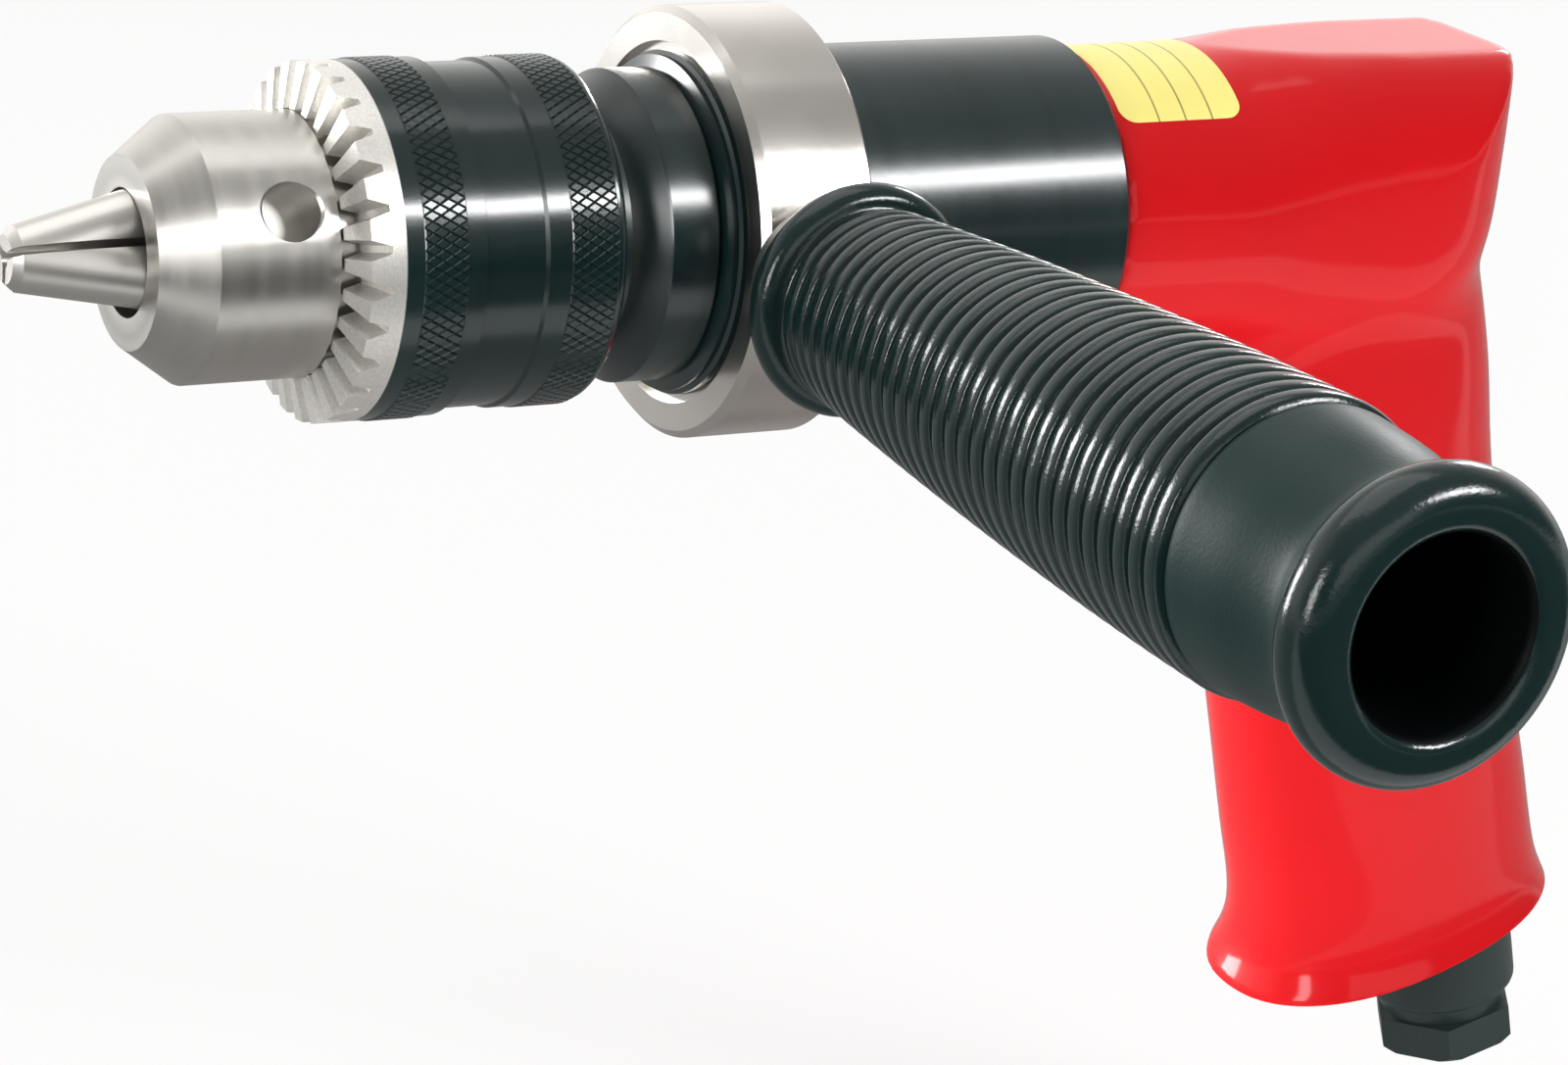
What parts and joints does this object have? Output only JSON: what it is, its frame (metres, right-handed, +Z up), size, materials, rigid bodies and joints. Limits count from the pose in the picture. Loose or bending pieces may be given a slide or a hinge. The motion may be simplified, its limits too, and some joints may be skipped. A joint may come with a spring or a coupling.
{
  "type": "air drill",
  "caption": "Pistol-grip air drill with a keyed chuck, planetary gear case, vane motor, sprung trigger, reverse lever and a screw-in side handle on a clamp ring.",
  "frame": {"origin": "on the spindle axis at the tips of the closed jaws", "axes": "+X along the spindle from the chuck towards the rear of the housing, +Z up, away from the pistol grip; the side handle points along -Y"},
  "size_m": [0.2246, 0.1762, 0.1517],
  "materials": {
    "ground_steel": "satin ground",
    "bright_steel": "bright turned",
    "plated_steel": "zinc plated",
    "gear_steel": "machined",
    "spring_steel": "drawn wire",
    "black_oxide": "glossy black oxide",
    "trigger_black": "black oxide",
    "inlet_black": "dark green-black oxide",
    "red_paint": "glossy red enamel on cast aluminium",
    "yellow_label": "blank label film",
    "grip_vinyl": "glossy ribbed vinyl",
    "bronze": "sintered bronze",
    "brass": "turned",
    "seal_rubber": "moulded",
    "felt": "felt",
    "vane_fibre": "phenolic fibre"
  },
  "bodies": {
    "drill_body": {"gear_case": "black_oxide", "ring_gear": "gear_steel", "spindle_bearing_outer": "gear_steel", "spindle_bush": "bronze", "spindle_seal": "felt", "motor_cylinder": "gear_steel", "front_end_plate": "gear_steel", "rear_end_plate": "gear_steel", "front_rotor_bearing_outer": "gear_steel", "rear_rotor_bearing_outer": "gear_steel", "housing": "red_paint", "name_plate": "yellow_label", "trigger_bush": "brass", "trigger_spring": "spring_steel", "valve_seat": "seal_rubber", "valve_spring": "spring_steel", "inlet_bushing": "inlet_black", "inlet_screen": "brass", "inlet_seal": "seal_rubber", "exhaust_muffler": "felt", "exhaust_cover": "trigger_black", "exhaust_cover_screw": "plated_steel"},
    "spindle_body": {"spindle": "gear_steel", "chuck_body": "ground_steel", "chuck_screw": "black_oxide", "spindle_bearing_inner": "gear_steel", "output_planet_pins": "gear_steel"},
    "sleeve_body": {"chuck_sleeve": "black_oxide", "jaw_nut": "gear_steel"},
    "jaw_top_body": {"jaw_top": "ground_steel"},
    "jaw_left_body": {"jaw_left": "ground_steel"},
    "jaw_right_body": {"jaw_right": "ground_steel"},
    "output_planet_1_body": {"output_planet_1": "bronze"},
    "output_planet_2_body": {"output_planet_2": "bronze"},
    "output_planet_3_body": {"output_planet_3": "bronze"},
    "input_carrier_body": {"input_carrier": "gear_steel", "input_planet_pins": "gear_steel"},
    "input_planet_1_body": {"input_planet_1": "bronze"},
    "input_planet_2_body": {"input_planet_2": "bronze"},
    "input_planet_3_body": {"input_planet_3": "bronze"},
    "rotor_body": {"rotor": "gear_steel", "rotor_vanes": "vane_fibre", "front_rotor_bearing_inner": "gear_steel", "rear_rotor_bearing_inner": "gear_steel"},
    "spindle_cage_body": {"spindle_bearing_cage": "brass"},
    "front_cage_body": {"front_rotor_bearing_cage": "brass"},
    "rear_cage_body": {"rear_rotor_bearing_cage": "brass"},
    "trigger_body": {"trigger": "trigger_black", "trigger_rod": "gear_steel"},
    "throttle_body": {"throttle_valve": "brass"},
    "reverse_body": {"reverse_valve": "brass", "reverse_lever": "trigger_black", "reverse_lever_screw": "plated_steel"},
    "ring_body": {"clamp_ring": "bright_steel"},
    "stud_body": {"handle_stud": "plated_steel"},
    "grip_body": {"side_grip": "grip_vinyl"}
  },
  "joints": [
    {"name": "spindle_spin", "type": "hinge", "parent": "drill_body", "child": "spindle_body", "pos_m": [0.0775, 0, 0], "axis": [1, 0, 0], "continuous": true},
    {"name": "sleeve_turn", "type": "hinge", "parent": "spindle_body", "child": "sleeve_body", "pos_m": [0.0407, 0, 0], "axis": [1, 0, 0], "range_deg": [0, 3060]},
    {"name": "jaw_top_slide", "type": "slide", "parent": "spindle_body", "child": "jaw_top_body", "axis": [0.9659, 0, 0.2588], "range_m": [0, 0.02126]},
    {"name": "jaw_left_slide", "type": "slide", "parent": "spindle_body", "child": "jaw_left_body", "axis": [0.9659, -0.2241, -0.1294], "range_m": [0, 0.02126]},
    {"name": "jaw_right_slide", "type": "slide", "parent": "spindle_body", "child": "jaw_right_body", "axis": [0.9659, 0.2241, -0.1294], "range_m": [0, 0.02126]},
    {"name": "output_planet_1_spin", "type": "hinge", "parent": "spindle_body", "child": "output_planet_1_body", "pos_m": [0.1069, 0, -0.00945], "axis": [1, 0, 0], "continuous": true},
    {"name": "output_planet_2_spin", "type": "hinge", "parent": "spindle_body", "child": "output_planet_2_body", "pos_m": [0.1069, 0.00818, 0.00473], "axis": [1, 0, 0], "continuous": true},
    {"name": "output_planet_3_spin", "type": "hinge", "parent": "spindle_body", "child": "output_planet_3_body", "pos_m": [0.1069, -0.00818, 0.00473], "axis": [1, 0, 0], "continuous": true},
    {"name": "input_carrier_spin", "type": "hinge", "parent": "drill_body", "child": "input_carrier_body", "pos_m": [0.1155, 0, 0], "axis": [1, 0, 0], "continuous": true},
    {"name": "input_planet_1_spin", "type": "hinge", "parent": "input_carrier_body", "child": "input_planet_1_body", "pos_m": [0.1227, 0, -0.00945], "axis": [1, 0, 0], "continuous": true},
    {"name": "input_planet_2_spin", "type": "hinge", "parent": "input_carrier_body", "child": "input_planet_2_body", "pos_m": [0.1227, 0.00818, 0.00473], "axis": [1, 0, 0], "continuous": true},
    {"name": "input_planet_3_spin", "type": "hinge", "parent": "input_carrier_body", "child": "input_planet_3_body", "pos_m": [0.1227, -0.00818, 0.00473], "axis": [1, 0, 0], "continuous": true},
    {"name": "rotor_spin", "type": "hinge", "parent": "drill_body", "child": "rotor_body", "pos_m": [0.1595, 0, 0], "axis": [1, 0, 0], "continuous": true},
    {"name": "spindle_cage_spin", "type": "hinge", "parent": "drill_body", "child": "spindle_cage_body", "pos_m": [0.0775, 0, 0], "axis": [1, 0, 0], "continuous": true},
    {"name": "front_cage_spin", "type": "hinge", "parent": "drill_body", "child": "front_cage_body", "pos_m": [0.1357, 0, 0], "axis": [1, 0, 0], "continuous": true},
    {"name": "rear_cage_spin", "type": "hinge", "parent": "drill_body", "child": "rear_cage_body", "pos_m": [0.184, 0, 0], "axis": [1, 0, 0], "continuous": true},
    {"name": "trigger_slide", "type": "slide", "parent": "drill_body", "child": "trigger_body", "axis": [1, 0, 0], "range_m": [0, 0.0036], "stiffness_N_per_m": 900, "springref_m": -0.002, "deforming": ["trigger_spring"]},
    {"name": "throttle_tilt", "type": "hinge", "parent": "drill_body", "child": "throttle_body", "pos_m": [0.19149, 0, -0.05169], "axis": [0, 1, 0], "range_deg": [0, 15.5], "deforming": ["valve_spring"]},
    {"name": "reverse_turn", "type": "hinge", "parent": "drill_body", "child": "reverse_body", "pos_m": [0.1714, 0, -0.026], "axis": [1, 0, 0], "range_deg": [-25, 25]},
    {"name": "ring_turn", "type": "hinge", "parent": "drill_body", "child": "ring_body", "pos_m": [0.0893, 0, 0], "axis": [1, 0, 0], "continuous": true},
    {"name": "stud_slide", "type": "slide", "parent": "ring_body", "child": "stud_body", "axis": [0, -1, 0], "range_m": [0, 0.003]},
    {"name": "grip_turn", "type": "hinge", "parent": "stud_body", "child": "grip_body", "pos_m": [0.0893, -0.09, 0], "axis": [0, -1, 0], "range_deg": [0, 720]}
  ],
  "couplings": [
    {"joint": "jaw_top_slide", "follows": "sleeve_turn", "m_per_rad": 0.00039789},
    {"joint": "jaw_left_slide", "follows": "sleeve_turn", "m_per_rad": 0.00039789},
    {"joint": "jaw_right_slide", "follows": "sleeve_turn", "m_per_rad": 0.00039789},
    {"joint": "output_planet_1_spin", "follows": "spindle_spin", "ratio": -2.8},
    {"joint": "output_planet_2_spin", "follows": "spindle_spin", "ratio": -2.8},
    {"joint": "output_planet_3_spin", "follows": "spindle_spin", "ratio": -2.8},
    {"joint": "input_carrier_spin", "follows": "spindle_spin", "ratio": 4.5},
    {"joint": "input_planet_1_spin", "follows": "spindle_spin", "ratio": -12.6},
    {"joint": "input_planet_2_spin", "follows": "spindle_spin", "ratio": -12.6},
    {"joint": "input_planet_3_spin", "follows": "spindle_spin", "ratio": -12.6},
    {"joint": "rotor_spin", "follows": "spindle_spin", "ratio": 20.25},
    {"joint": "spindle_cage_spin", "follows": "spindle_spin", "ratio": 0.40213},
    {"joint": "front_cage_spin", "follows": "spindle_spin", "ratio": 8.946},
    {"joint": "rear_cage_spin", "follows": "spindle_spin", "ratio": 8.4127},
    {"joint": "throttle_tilt", "follows": "trigger_slide", "rad_per_m": 68.8},
    {"joint": "stud_slide", "follows": "grip_turn", "m_per_rad": 0.00023873}
  ]
}
